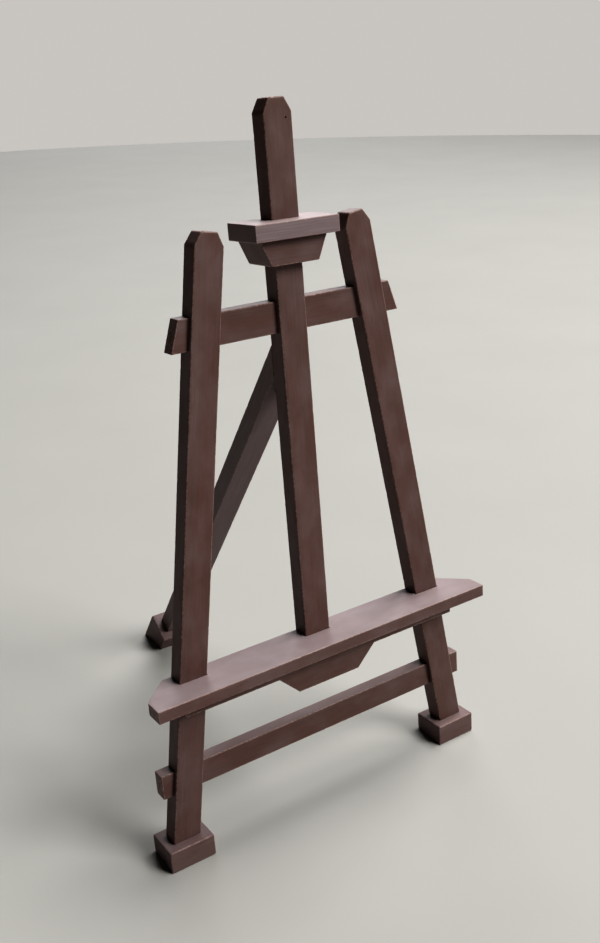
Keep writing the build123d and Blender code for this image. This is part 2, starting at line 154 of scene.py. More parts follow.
# The stage: places, sizes and tints of the lights, the floor's rings, the camera's turn
AIM_HEIGHT = 0.4     # of the easel's height
WARM, COOL = (1.0, 0.98, 0.95), (0.98, 0.98, 1.0)
KEY_LIGHT = ((1.7, 0.2, 3.6), 2.2, WARM)
WINDOW_LIGHT = ((2.0, 4.1, 2.2), 2.2, COOL)
FILL_LIGHT = ((1.9, -2.6, 2.6), 1.8, WARM)
ROOM_TINT = (0.95, 0.92, 0.88, 1)
FLOOR_RINGS = np.array((0.2, 0.5, 1.0, 1.8, 3.0, 3.4))
FLOOR_SIDES = 96
FLOOR_DROP = 0.05 * MM
FLOOR_CLOUDS, FLOOR_SHADES = (6.0, 2.0), (0.96, 1.03)
FLOOR_ROUGHNESS, FLOOR_SPECULAR = 0.9, 0.1
CAMERA_RIGHT = (0.83375, -0.55142, -0.02821)
CAMERA_UP = (0.24208, 0.31915, 0.91627)
CAMERA_SHIFT = (0.0030, 0.0041)
CAMERA_CLIP = (0.01, 200)
SENSOR_WIDTH = 36


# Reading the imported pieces, in the leaning frame's own directions

Leg = namedtuple("Leg", "start low slope half")


def seen(node):
    """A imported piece's points as columns across, back and up the leaning frame."""
    mesh = frame["nodes"][node].data
    points = np.empty(len(mesh.vertices) * 3, np.float32)
    mesh.vertices.foreach_get("co", points)
    return points.reshape(-1, 3).astype(float) @ BOARD.T


def reach(points):
    """The lowest and highest place of points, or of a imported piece, in each column."""
    points = seen(points) if isinstance(points, str) else points
    return points.min(0), points.max(0)


def at(points, column, place):
    """Those of the points that lie at a place in one column."""
    return points[np.abs(points[:, column] - place) < TOUCH]


def screw_centres(node, back):
    """The middle of each screw head on a back face, left to right, as (across, back, up)."""
    heads = at(seen(node), 1, back)
    heads = heads[np.argsort(heads[:, 0])]
    groups = np.split(heads, np.flatnonzero(np.diff(heads[:, 0]) > SCREW_SPACE) + 1)
    return [(group.min(0) + group.max(0)) / 2 for group in groups]


def leg_line(side):
    """Where a leg's centreline starts, how far it leans in per unit of height, its half width."""
    points = seen("right_leg" if side > 0 else "left_leg") * (side, 1, 1)
    low = points[:, 2].min()
    base = at(points, 2, low)
    inner_low, outer_low = base[:, 0].min(), base[:, 0].max()
    inner_high = points[np.argmin(points[:, 0])]
    slope = (inner_low - inner_high[0]) / (inner_high[2] - low)
    half = (outer_low - inner_low) / 2 / math.hypot(1, slope)
    return Leg((inner_low + outer_low) / 2, low, slope, half)


def crossings(height, with_mast):
    """The posts' left and right edges at a height and how they lean, from left to right."""
    leg = leg_line(1)
    across = leg.start - leg.slope * (height - leg.low)
    wide = leg.half * math.hypot(1, leg.slope)
    mast = reach("mast")[1][0]
    return ((-across - wide, -across + wide, leg.slope),
            *([(-mast, mast, 0)] if with_mast else ()),
            (across - wide, across + wide, -leg.slope))


def notch(left, right, full, cut):
    """Key rows of a notch from left to right, with square shoulders."""
    return [(left, *full), (left, *cut), (right, *cut), (right, *full)]


# The wooden surface

def stations(keys, step, extra):
    """Rows of a key table filled in along the piece.

    Each row is (along, low width, high width, low depth, high depth, width slant, depth slant).
    Between two keys every column runs straight, at most one step apart; two keys at one place
    make a square shoulder. Extra places along are added where more detail is wanted.
    """
    rows = []
    for first, second in zip(keys[:-1], keys[1:]):
        span = second[0] - first[0]
        if span < SHOULDER:
            rows.append(first[None])
            continue
        places = np.linspace(0, 1, max(2, int(np.ceil(span / step)) + 1))[:-1]
        inside = [(place - first[0]) / span for place in extra if first[0] < place < second[0]]
        places = np.unique(np.concatenate((places, inside)))[:, None]
        rows.append(first + (second - first) * places)
    rows.append(keys[-1:])
    return np.concatenate(rows)


def end_places(keys, radius):
    """Places along the rounding at both ends, from each end inwards."""
    fall = radius * (1 - np.sin(ARC_TURNS))
    return np.concatenate((keys[0][0] + fall, keys[-1][0] - fall))


def ring_pattern(width, depth, radius, lines):
    """The points of one ring round a rounded rectangle.

    A ring point is a corner-to-corner fraction of the inner rectangle plus the radius times an
    outward direction. Each flat has lines near its corners and even ones between; extra lines
    are asked for as fractions of the width. Returns the fractions and directions.
    """
    def flat(length, added=()):
        rims = np.array(RIM_STEPS) / length
        even = np.linspace(0, 1, max(3, int(length / LINE_STEP)))[1:-1]
        clear = rims[-1] * RIM_CLEAR
        even = even[(even > clear) & (even < 1 - clear)]
        return np.unique(np.concatenate((rims, 1 - rims, even, added)))

    across = flat(width - 2 * radius, lines)
    through = flat(depth - 2 * radius)
    corners = ((1, 0), (1, 1), (0, 1), (0, 0))
    sides = (through, 1 - across, 1 - through, across)
    places, ways = [], []
    for index, (corner, side) in enumerate(zip(corners, sides)):
        turn = ARC_TURNS + math.radians(90 * index - 90)
        places.append(np.tile(corner, (len(turn), 1)))
        ways.append(np.column_stack((np.cos(turn), np.sin(turn))))
        fraction = np.sort(side) if index in (0, 3) else np.sort(side)[::-1]
        if index % 2 == 0:
            run = np.column_stack((np.full(len(fraction), corner[0]), fraction))
        else:
            run = np.column_stack((fraction, np.full(len(fraction), corner[1])))
        places.append(run)
        ways.append(np.tile((np.cos(turn[-1]), np.sin(turn[-1])), (len(fraction), 1)))
    return np.concatenate(places).astype(float), np.concatenate(ways)


def ripple(along, around, seed):
    """Smooth unevenness from 0 to 1: sines along and round the piece, added."""
    draw = np.random.default_rng(seed)
    total = 0
    for length, turns, share in RIPPLES:
        phase = draw.uniform(0, 2 * np.pi, 2)
        wave = np.sin(2 * np.pi * along / length + phase[0] + turns * around)
        total = total + share * wave * np.cos(turns * around + phase[1])
    return 0.5 + 0.5 * total


def chips(along, corner, seed):
    """Small nicks along the corners: peaks of fast sines, different on each corner."""
    draw = np.random.default_rng(seed)
    total = 0
    for length in CHIP_LENGTHS:
        phase = draw.uniform(0, 2 * np.pi)
        total = total + np.sin(2 * np.pi * along / length + phase + CHIP_TURN * corner)
    return np.clip(total - CHIP_FLOOR, 0, CHIP_LIMIT)


def fading(distance, radius, outside, fall):
    """1 round a middle, 0 beyond the outside and a straight fall between, both in radii."""
    return np.clip((radius * outside - distance) / (radius * fall), 0, 1)


def sink_depth(distance):
    """How far wood lies below its face round a screw head: a dish outside, a hole under it."""
    dish = DISH_DEPTH * fading(distance, SCREW_HEAD, *SCREW_DISH) ** 1.5
    return dish + HOLE_DEPTH * fading(distance, SCREW_HEAD, *SCREW_HOLE)


def shrunk(row, share):
    """A row drawn in towards its middle to a share of its width and depth."""
    row = row.copy()
    for low, high in ((1, 3), (3, 5)):
        centre = (row[low] + row[low + 1]) / 2
        row[low:high] = centre + (row[low:high] - centre) * share
    return row


class Rings:
    """Rings along a piece: each one's inner row, the radius round it, 1 on sides and 0 on ends."""

    def __init__(self, rows, radius):
        ends = np.minimum(rows[:, 0] - rows[0, 0], rows[-1, 0] - rows[:, 0])
        inset = np.where(ends < radius, radius - np.sqrt(np.clip(
            radius ** 2 - (radius - ends) ** 2, 0, None)), 0)
        self.rows = rows.copy()
        self.rows[:, (1, 3)] += radius
        self.rows[:, (2, 4)] -= radius
        self.sizes = radius - inset
        self.cover = np.ones(len(rows))

    def add(self, where, row, size=0.0):
        """Puts a ring of the end faces before the first one (-1) or after the last (1)."""
        both = ((np.array(row, float)[None], self.rows), ([size], self.sizes), ([0], self.cover))
        self.rows, self.sizes, self.cover = (np.concatenate(pair[::-where]) for pair in both)

    def close(self, where, hole):
        """Closes an end at a pole, or round a hole of a radius and a depth."""
        edge = self.rows[0 if where < 0 else -1].copy()
        if hole is None:
            for share in (*POLE_STEPS, 0):
                self.add(where, shrunk(edge, share))
            return
        hole_radius, deep = hole
        for share in HOLE_STEPS:
            self.add(where, shrunk(edge, share), hole_radius * (1 - share))
        rim = shrunk(edge, 0)
        for down in (0.0, HOLE_RIM, deep):
            rim[0] = edge[0] - where * down
            self.add(where, rim, hole_radius)
        self.add(where, rim)

    def line(self, way):
        """Carries the rings from the last, through a square way, back to the first."""
        through = np.array((0, *way, 0, 0), float)
        wide = through + COLLAR_RIM * np.array((0, -1, 1, -1, 1, 0, 0))
        bevel = wide + (through - wide) * (1 - RIM_SHARE)

        def mouth(end, inward):
            flat = np.append(end[0], wide[1:])
            rows = [end * share + flat * (1 - share) for share in COLLAR_STEPS]
            return rows + [flat, np.append(end[0] + inward * COLLAR_RIM * RIM_SHARE, bevel[1:]),
                           np.append(end[0] + inward * COLLAR_RIM, through[1:])]

        bottom, top = self.rows[0].copy(), self.rows[-1].copy()
        for row in mouth(top, -1) + mouth(bottom, 1)[::-1]:
            self.add(1, row)


def skin(count, around, looped):
    """Faces between rings: quads, and triangles to the two poles that follow the rings."""
    ring = np.arange(count if looped else count - 1)[:, None]
    spin = np.arange(around)
    after = (spin + 1) % around
    here, above = ring * around, (ring + 1) % count * around
    quads = np.stack((here + spin, here + after, above + after, above + spin), -1)
    faces = quads.reshape(-1, 4).tolist()
    if not looped:
        low_pole, top = count * around, (count - 1) * around
        faces += np.stack((np.full(around, low_pole), after, spin), -1).tolist()
        faces += np.stack((np.full(around, low_pole + 1), top + spin, top + after), -1).tolist()
    return faces


def wood_piece(node, body, axes, origin, keys, *, name=None, screws=(), pricks=(),
               low_hole=None, way=None, fibre=0, painted_sheen=0.0, top_light_share=0.35, soft=False):
    """Builds one wooden piece.

    Point = origin + along * A + width * B + depth * C, where the ring at each station gives
    width and depth, and along = station + width slant * width + depth slant * depth. The ring
    draws in by a quarter circle at both ends. It closes at a pole, round a screw hole, or, for
    a collar, through a square way back to where it started.

    Screws sit in the high depth face and pin pricks in the low one, both at (along, width).
    The low hole is (radius, depth), and the way (low width, high width, low depth, high depth).
    The fibres run along A (0) or B (1). A painted sheen greys the whole piece, painted top light
    makes faces paler where they look up, and soft edges have the larger radius.
    """
    settings = bpy.context.scene.easel_wood
    seed = SEEDS[node]
    radius = settings.soft_radius if soft else settings.edge_radius
    keys = np.array(keys, float)
    width = keys[:, 2].max() - keys[:, 1].min()
    depth = keys[:, 4].max() - keys[:, 3].min()
    inner_width = width - 2 * radius
    extra, near = list(end_places(keys, radius)), []
    for spots, detail in ((screws, SCREW_DETAIL), (pricks, PRICK_DETAIL)):
        for along, across in spots:
            extra.extend(along + detail)
            near.extend((across - keys[0][1] - radius) / inner_width + detail / inner_width)
    near = [place for place in near if NEAR_END < place < 1 - NEAR_END]
    rows = stations(keys, settings.station_step, extra)
    places, ways = ring_pattern(width, depth, radius, near)

    rings = Rings(rows, radius)
    looped = way is not None
    if looped:
        rings.line(way)
    else:
        rings.close(-1, low_hole)
        rings.close(1, None)

    station, low_b, high_b, low_c, high_c, slant_b, slant_c = rings.rows.T[:, :, None]
    size, cover = rings.sizes[:, None], rings.cover[:, None]
    turn = np.arctan2(ways[:, 1], ways[:, 0])[None]
    corner = (np.abs(ways[:, 0] * ways[:, 1]) * 2)[None]
    which = np.round(turn / (np.pi / 2) - 0.5)
    nicks = settings.nick_depth * corner * chips(station, which, seed + CHIP_SEED)
    uneven = (settings.waviness * ripple(station, turn, seed) + nicks) * cover
    b = low_b + (high_b - low_b) * places[:, 0] + (size - uneven) * ways[:, 0]
    c = low_c + (high_c - low_c) * places[:, 1] + (size - uneven) * ways[:, 1]
    for along, across in screws:
        distance = np.hypot(station + slant_b * b - along, b - across)
        c = c - sink_depth(distance) * (ways[:, 1] > FACING)[None] * cover
    for along, across in pricks:
        distance = np.hypot(station + slant_b * b - along, b - across)
        c = c + PRICK_DEPTH * fading(distance, PRICK, *PRICK_HOLE) * (
            ways[:, 1] < -FACING)[None] * cover
    points = np.stack((station + slant_b * b + slant_c * c, b, c), -1)

    to_side = np.minimum(b - (low_b - radius), (high_b + radius) - b)
    to_face = np.minimum(c - (low_c - radius), (high_c + radius) - c)
    to_end = np.minimum(station - rows[0, 0], rows[-1, 0] - station) + 0 * b
    gaps = np.sort(np.stack((np.abs(to_side), np.abs(to_face), np.abs(to_end))), axis=0)[1]
    edge = np.clip(1 - gaps / EDGE_REACH, 0, 1)

    # Painted top light: points that face up are painted paler in place of light from above, by their upness
    # squared times the share
    lift = (np.array(axes, float) @ BOARD)[:, 2]
    sideways = size / radius * cover
    ended = np.where(np.arange(len(size)) < len(size) / 2, -lift[0], lift[0])[:, None]
    looks_up = sideways * (ways[:, 0] * lift[1] + ways[:, 1] * lift[2])[None] + (
        (1 - sideways) * ended)
    painted_top_light = top_light_share * np.clip(looks_up, 0, 1) ** 2

    count, around = b.shape
    shown = slice(None) if looped else slice(1, -1)
    grid, edge, painted_top_light, poles = (points[shown].reshape(-1, 3), edge[shown].ravel(),
                               painted_top_light[shown].ravel(), painted_top_light[(0, -1), 0])
    if not looped:
        count -= 2
        grid = np.concatenate((grid, points[(0, -1), 0]))
        edge = np.concatenate((edge, (0, 0)))
        painted_top_light = np.concatenate((painted_top_light, poles))
    # The painted_top_light and painted_sheen layers carry painted light into the colour; edge carries wear
    wood_mesh(name or node + "_wood", node, body, grid, skin(count, around, looped),
              {"edge": edge, "painted_top_light": painted_top_light, "painted_sheen": np.full(len(grid), painted_sheen)},
              (origin + grid @ np.array(axes, float)) @ BOARD, fibre)


def wood_mesh(name, node, body, grid, faces, layers, world, fibre):
    """Turns placed points into a mesh with its grain, its layer of wear and its layers of painted sheen and
    painted top light.
    """
    corners = np.array([face[:3] for face in faces])
    rest = np.array([(face[0], face[2], face[-1]) for face in faces])
    volume = sum(np.einsum("ij,ij->", world[three[:, 0]], np.cross(
        world[three[:, 1]], world[three[:, 2]])) for three in (corners, rest))
    if volume < 0:
        faces = [face[::-1] for face in faces]
    mesh = bpy.data.meshes.new(name)
    mesh.from_pydata(world.tolist(), [], faces)
    draw = np.random.default_rng(SEEDS[node] + GRAIN_SEED)
    shift = draw.uniform(-GRAIN_SHIFT, GRAIN_SHIFT, 3)
    grain = mesh.attributes.new("grain", "FLOAT_VECTOR", "POINT")
    turned = np.roll(grid, -fibre, axis=1) + shift
    grain.data.foreach_set("vector", turned.astype(np.float32).ravel())
    for label, values in layers.items():
        layer = mesh.attributes.new(label, "FLOAT", "POINT")
        layer.data.foreach_set("value", values.astype(np.float32))
    whole = bmesh.new()
    whole.from_mesh(mesh)
    bmesh.ops.remove_doubles(whole, verts=whole.verts, dist=SAME_PLACE)
    whole.to_mesh(mesh)
    whole.free()
    mesh.shade_smooth()
    mesh.set_sharp_from_angle(angle=SHARP_ANGLE)
    mesh.materials.append(stained_wood())
    piece = bpy.data.objects.new(name, mesh)
    bpy.context.scene.collection.objects.link(piece)
    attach(piece, body)
    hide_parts(node)


# Finishes

class Nodes:
    """A short way to write a material's nodes and links."""

    def __init__(self, name):
        self.material = bpy.data.materials.new(name)
        self.material.use_nodes = True
        self.tree = self.material.node_tree
        self.shader = self.tree.nodes["Principled BSDF"]

    def add(self, kind, **values):
        """A node of a kind, with its properties set by name."""
        node = self.tree.nodes.new(kind)
        for key, value in values.items():
            setattr(node, key, value)
        return node

    def link(self, source, target):
        """Joins an output to an input."""
        self.tree.links.new(source, target)

    def mapped(self, source, scale):
        """Stretches a pattern's coordinates."""
        mapping = self.add("ShaderNodeMapping")
        mapping.inputs["Scale"].default_value = scale
        self.link(source, mapping.inputs["Vector"])
        return mapping.outputs["Vector"]

    def noise(self, vector, scale, detail=3.0, roughness=0.55):
        """Cloudy noise on a vector."""
        node = self.add("ShaderNodeTexNoise")
        node.inputs["Scale"].default_value = scale
        node.inputs["Detail"].default_value = detail
        node.inputs["Roughness"].default_value = roughness
        self.link(vector, node.inputs["Vector"])
        return node.outputs["Fac"]

    def ramp(self, source, stops):
        """A ramp through stops of (place, value)."""
        node = self.add("ShaderNodeValToRGB")
        while len(node.color_ramp.elements) < len(stops):
            node.color_ramp.elements.new(0.5)
        for element, (place, value) in zip(node.color_ramp.elements, stops):
            element.position = place
            element.color = (value, value, value, 1)
        self.link(source, node.inputs["Fac"])
        return node.outputs["Color"]

    def mix(self, share, first, second):
        """Mixes two colours by a share."""
        node = self.add("ShaderNodeMix", data_type="RGBA")
        for socket, value in ((node.inputs[0], share), (node.inputs[6], first),
                              (node.inputs[7], second)):
            if isinstance(value, (int, float)):
                socket.default_value = value
            elif not isinstance(value, bpy.types.NodeSocket):
                socket.default_value = (*tuple(value)[:3], 1)
            else:
                self.link(value, socket)
        return node.outputs[2]

    def maths(self, operation, first, second):
        """One step of arithmetic."""
        node = self.add("ShaderNodeMath", operation=operation)
        for socket, value in zip(node.inputs, (first, second)):
            if isinstance(value, (int, float)):
                socket.default_value = value
            else:
                self.link(value, socket)
        return node.outputs[0]

    def bump(self, height, strength, distance, under=None):
        """Relief from a height, on top of another relief."""
        node = self.add("ShaderNodeBump")
        node.inputs["Strength"].default_value = strength
        node.inputs["Distance"].default_value = distance
        self.link(height, node.inputs["Height"])
        if under is not None:
            self.link(under, node.inputs["Normal"])
        return node.outputs["Normal"]


def stained_wood():
    """Dark brown stain on wood: long fibres, redder bands, worn edges and pale scuffs, with painted sheen and
    painted top light mixed into its colour.
    """
    if "dark_stained_wood" in bpy.data.materials:
        return bpy.data.materials["dark_stained_wood"]
    settings = bpy.context.scene.easel_wood
    made = Nodes("dark_stained_wood")
    grain = made.add("ShaderNodeAttribute", attribute_name="grain").outputs["Vector"]
    edge = made.add("ShaderNodeAttribute", attribute_name="edge").outputs["Fac"]
    painted_sheen = made.add("ShaderNodeAttribute", attribute_name="painted_sheen").outputs["Fac"]
    painted_top_light = made.add("ShaderNodeAttribute", attribute_name="painted_top_light").outputs["Fac"]

    fibre = made.noise(made.mapped(grain, FIBRE), 1.0, 4.0, 0.6)
    pores = made.noise(made.mapped(grain, PORES), 1.0, 2.0)
    bands = made.noise(made.mapped(grain, BANDS), 1.0, 2.0)
    blotch = made.noise(made.mapped(grain, BLOTCH), 1.0, 3.0)
    speck = made.noise(made.mapped(grain, SPECK), 1.0, 2.0, 0.7)

    base = made.mix(made.ramp(fibre, DARK_FIBRES), settings.dark_colour,
                    settings.main_colour)
    base = made.mix(made.maths("MULTIPLY", made.ramp(bands, RED_BANDS), RED_SHARE),
                    base, settings.red_colour)
    base = made.mix(made.maths("MULTIPLY", made.ramp(blotch, GREY_BLOTCHES), GREY_SHARE),
                    base, settings.grey_and_sheen_colour)
    # Painted sheen: each piece's share greys it, a painted stand-in for light glancing off it
    base = made.mix(made.maths("MULTIPLY", painted_sheen, made.ramp(fibre, SHEEN_FIBRES)),
                    base, settings.grey_and_sheen_colour)
    # Painted top light: faces that look up are painted paler, broken up by blotches
    top_light_share = made.maths("MULTIPLY", painted_top_light, made.ramp(blotch, TOP_LIGHT_BLOTCHES))
    base = made.mix(made.maths("MULTIPLY", top_light_share, settings.painted_top_light), base, settings.painted_top_light_colour)

    rubbed = made.maths("MULTIPLY", made.ramp(edge, RUBBED_EDGES),
                        made.ramp(speck, RUBBED_SPECKS))
    base = made.mix(made.maths("MULTIPLY", rubbed, settings.wear), base, settings.worn_colour)
    scuffs = made.maths("MULTIPLY", made.ramp(speck, SCUFFS),
                        made.maths("ADD", made.maths("MULTIPLY", edge, SCUFFS_ON_EDGES),
                                   SCUFFS_ANYWHERE))
    base = made.mix(made.maths("MULTIPLY", scuffs, SCUFF_SHARE), base, settings.scuff_colour)
    made.link(base, made.shader.inputs["Base Color"])

    rough = made.maths("ADD", made.maths("MULTIPLY", fibre, FIBRE_ROUGHNESS), settings.roughness)
    rough = made.maths("SUBTRACT", rough, made.maths("MULTIPLY", rubbed, RUBBED_SMOOTHNESS))
    made.link(rough, made.shader.inputs["Roughness"])
    for key, value in WOOD_SHEEN.items():
        made.shader.inputs[key].default_value = value
    relief = made.bump(fibre, *FIBRE_RELIEF)
    relief = made.bump(pores, *PORE_RELIEF, relief)
    relief = made.bump(speck, *SPECK_RELIEF, relief)
    made.link(relief, made.shader.inputs["Normal"])
    return made.material


def worn_metal(name, colour, dull_colour, roughness):
    """Small hardware: cloudy tarnish over bright metal, with fine scratches."""
    made = Nodes(name)
    place = made.add("ShaderNodeTexCoord").outputs["Object"]
    cloud = made.noise(made.mapped(place, TARNISH), 1.0, 4.0)
    scratch = made.noise(made.mapped(place, SCRATCH), 1.0, 2.0)
    base = made.mix(made.ramp(cloud, TARNISH_CLOUDS), colour, dull_colour)
    made.link(base, made.shader.inputs["Base Color"])
    made.shader.inputs["Metallic"].default_value = 1.0
    rough = made.maths("ADD", made.maths("MULTIPLY", cloud, TARNISH_ROUGHNESS), roughness)
    made.link(rough, made.shader.inputs["Roughness"])
    made.link(made.bump(scratch, *SCRATCH_RELIEF), made.shader.inputs["Normal"])
    return made.material


# Settings

class EASEL_PG_wood(bpy.types.PropertyGroup):
    edge_radius: bpy.props.FloatProperty(
        name="Edge Radius", description="Rounding of the crisper wooden edges",
        default=0.42 * MM, min=0.1 * MM, max=1.2 * MM, unit="LENGTH", precision=5)
    soft_radius: bpy.props.FloatProperty(
        name="Soft Radius", description="Rounding of the posts' and feet's handled edges",
        default=0.75 * MM, min=0.1 * MM, max=1.2 * MM, unit="LENGTH", precision=5)
    station_step: bpy.props.FloatProperty(
        name="Station Step", description="Longest distance between rings along a piece",
        default=1.6 * MM, min=0.5 * MM, max=10 * MM, unit="LENGTH", precision=5)
    waviness: bpy.props.FloatProperty(
        name="Waviness", description="How far sanded faces dip below flat",
        default=0.07 * MM, min=0.0, max=0.3 * MM, unit="LENGTH", precision=6)
    nick_depth: bpy.props.FloatProperty(
        name="Nick Depth", description="Depth of the small nicks along the edges",
        default=0.14 * MM, min=0.0, max=0.5 * MM, unit="LENGTH", precision=6)
    dark_colour: bpy.props.FloatVectorProperty(
        name="Dark Fibre", description="Colour of the darkest fibres", subtype="COLOR",
        default=(0.047, 0.025, 0.022), min=0, max=1)
    main_colour: bpy.props.FloatVectorProperty(
        name="Stain", description="Main colour of the stain", subtype="COLOR",
        default=(0.106, 0.058, 0.049), min=0, max=1)
    red_colour: bpy.props.FloatVectorProperty(
        name="Red Band", description="Colour of the redder bands", subtype="COLOR",
        default=(0.103, 0.048, 0.039), min=0, max=1)
    # Grey of the random grey patches, and also of the painted sheen laid over whole pieces
    grey_and_sheen_colour: bpy.props.FloatVectorProperty(
        name="Haze", description="Colour of the greyer patches", subtype="COLOR",
        default=(0.200, 0.160, 0.168), min=0, max=1)
    worn_colour: bpy.props.FloatVectorProperty(
        name="Worn Edge", description="Colour where the stain is rubbed thin", subtype="COLOR",
        default=(0.295, 0.205, 0.180), min=0, max=1)
    scuff_colour: bpy.props.FloatVectorProperty(
        name="Scuff", description="Colour of small pale scuffs", subtype="COLOR",
        default=(0.36, 0.28, 0.25), min=0, max=1)
    # Painted top light: the paler colour painted on faces that look up
    painted_top_light_colour: bpy.props.FloatVectorProperty(
        name="Dust Colour", description="Colour of the fine dust on upper faces",
        subtype="COLOR", default=(0.360, 0.308, 0.325), min=0, max=1)
    # Painted top light: how strongly faces that look up are painted paler
    painted_top_light: bpy.props.FloatProperty(
        name="Dust", description="How much dust lies on faces that look up", subtype="FACTOR",
        default=0.6, min=0.0, max=1.0)
    wear: bpy.props.FloatProperty(
        name="Edge Wear", description="How strongly the edges are rubbed", subtype="FACTOR",
        default=0.75, min=0.0, max=1.0)
    roughness: bpy.props.FloatProperty(
        name="Roughness", description="Lowest roughness of the finish", subtype="FACTOR",
        default=0.42, min=0.0, max=1.0)


class EASEL_PG_metal(bpy.types.PropertyGroup):
    brass_colour: bpy.props.FloatVectorProperty(
        name="Brass", description="Colour of bright brass", subtype="COLOR",
        default=(0.62, 0.43, 0.17), min=0, max=1)
    brass_dull: bpy.props.FloatVectorProperty(
        name="Tarnish", description="Colour of tarnished brass", subtype="COLOR",
        default=(0.30, 0.19, 0.08), min=0, max=1)
    bronze_colour: bpy.props.FloatVectorProperty(
        name="Bronze", description="Colour of the dark hinge", subtype="COLOR",
        default=(0.085, 0.058, 0.042), min=0, max=1)
    bronze_dull: bpy.props.FloatVectorProperty(
        name="Dull Bronze", description="Colour of the hinge's dull patches", subtype="COLOR",
        default=(0.035, 0.026, 0.022), min=0, max=1)
    steel_colour: bpy.props.FloatVectorProperty(
        name="Screw Steel", description="Colour of the plated screws", subtype="COLOR",
        default=(0.42, 0.40, 0.36), min=0, max=1)
    steel_dull: bpy.props.FloatVectorProperty(
        name="Dull Steel", description="Colour of the dull patches on screws", subtype="COLOR",
        default=(0.20, 0.19, 0.17), min=0, max=1)


class EASEL_PG_stage(bpy.types.PropertyGroup):
    floor_colour: bpy.props.FloatVectorProperty(
        name="Floor", description="Colour of the pale floor", subtype="COLOR",
        default=(0.350, 0.350, 0.338), min=0, max=1)
    key_power: bpy.props.FloatProperty(
        name="Key Light", description="Power of the light high on the right", unit="POWER",
        default=135.0, min=0.0, max=900.0)
    window_power: bpy.props.FloatProperty(
        name="Window Light", description="Power of the wide light behind", unit="POWER",
        default=60.0, min=0.0, max=900.0)
    fill_power: bpy.props.FloatProperty(
        name="Fill Light", description="Power of the light in front on the right",
        unit="POWER", default=138.0, min=0.0, max=900.0)
    room_light: bpy.props.FloatProperty(
        name="Room Light", description="Strength of the light from all round",
        default=0.02, min=0.0, max=2.0)
    backdrop_light: bpy.props.FloatProperty(
        name="Backdrop Light", description="Brightness of the backdrop behind the floor",
        default=0.47, min=0.0, max=2.0)
    camera_place: bpy.props.FloatVectorProperty(
        name="Camera Place", description="Camera place from the middle of the easel's base",
        subtype="TRANSLATION", unit="LENGTH", default=(-0.25713, -0.47490, 0.38813))
    lens: bpy.props.FloatProperty(
        name="Lens", description="Focal length on a 36 mm long side", unit="CAMERA",
        default=39.74, min=10, max=200)


# Operators, one for each group of like pieces

class EASEL_OT_posts(bpy.types.Operator):
    """Build the two splayed legs and the mast"""
    bl_idname = "easel.posts"
    bl_label = "Legs and Mast"

    def execute(self, context):
        for side, node in ((-1, "left_leg"), (1, "right_leg")):
            build_post(node, side, leg_line(side))
        low, high = reach("mast")
        build_post("mast", 1, Leg(0.0, low[2], 0.0, high[0]))
        return {"FINISHED"}


def build_post(node, side, line):
    """A post from its foot up, notched from behind at the rails and clipped at the top."""
    start, low, slope, half = line
    points = seen(node)
    front, back = points[:, 1].min(), points[:, 1].max()
    rise = 1 / math.hypot(1, slope)
    inward = slope * rise
    along = np.array((-side * inward, 0.0, rise))
    outward = np.array((side * rise, 0.0, inward))
    origin = np.array((side * start, front, low))
    local = np.column_stack(((points - origin) @ along, (points - origin) @ outward))
    top = local[:, 0].max()
    flat_half = np.abs(local[local[:, 0] > top - TOUCH, 1]).max()
    clip = local[np.abs(local[:, 1]) > half - TOUCH, 0].max()
    depth = back - front
    full = (-half, half, 0, depth, -slope, 0)
    keys = [(0, *full)]
    for rail in ("lower_rail", "upper_rail") if slope > 0 else ("upper_rail",):
        rail_low, rail_high = reach(rail)
        lap = (rail_low[1] + rail_high[1]) / 2 - front
        keys += notch((rail_low[2] - low) / rise, (rail_high[2] - low) / rise,
                      full, (-half, half, 0, lap, -slope, 0))
    keys.append((clip, -half, half, 0, depth, 0, 0))
    keys.append((top, -flat_half, flat_half, 0, depth, 0, 0))
    screws = []
    for centre in screw_centres("apron_screws", back):
        where = centre - origin
        if abs(where @ outward) < half:
            screws.append((where @ along, where @ outward))
    pricks = [(top - MAST_PRICK_BELOW, MAST_PRICK_ASIDE)] if node == "mast" else []
    wood_piece(node, "frame", (along, outward, Y), origin, keys, screws=screws, pricks=pricks,
               soft=True)


class EASEL_OT_rails(bpy.types.Operator):
    """Build the two cross rails"""
    bl_idname = "easel.rails"
    bl_label = "Cross Rails"

    def execute(self, context):
        build_rail("upper_rail", True)
        build_rail("lower_rail", False)
        return {"FINISHED"}


def build_rail(node, crosses_mast):
    """A rail from left to right, notched from the front where the posts cross it."""
    points = seen(node)
    low, high = reach(points)
    middle = (low[2] + high[2]) / 2
    bottom_end = at(points, 2, low[2])[:, 0].max()
    top_end = at(points, 2, high[2])[:, 0].max()
    height, depth = high[2] - low[2], high[1] - low[1]
    slant = (top_end - bottom_end) / height
    end = (top_end + bottom_end) / 2
    size = (-height / 2, height / 2)
    keys = [(-end, *size, 0, depth, -slant, 0)]
    for left, right, lean in crossings(middle, crosses_mast):
        keys += notch(left, right, (*size, 0, depth, lean, 0),
                      (*size, depth / 2, depth, lean, 0))
    keys.append((end, *size, 0, depth, slant, 0))
    screws = [(centre[0], centre[2] - middle)
              for centre in screw_centres("rail_screws", high[1])
              if abs(centre[2] - middle) < height / 2]
    wood_piece(node, "frame", (X, Z, Y), (0, low[1], middle), keys, screws=screws)


class EASEL_OT_tray(bpy.types.Operator):
    """Build the tray and the apron under it"""
    bl_idname = "easel.tray"
    bl_label = "Tray and Apron"

    def execute(self, context):
        build_tray()
        build_apron()
        return {"FINISHED"}


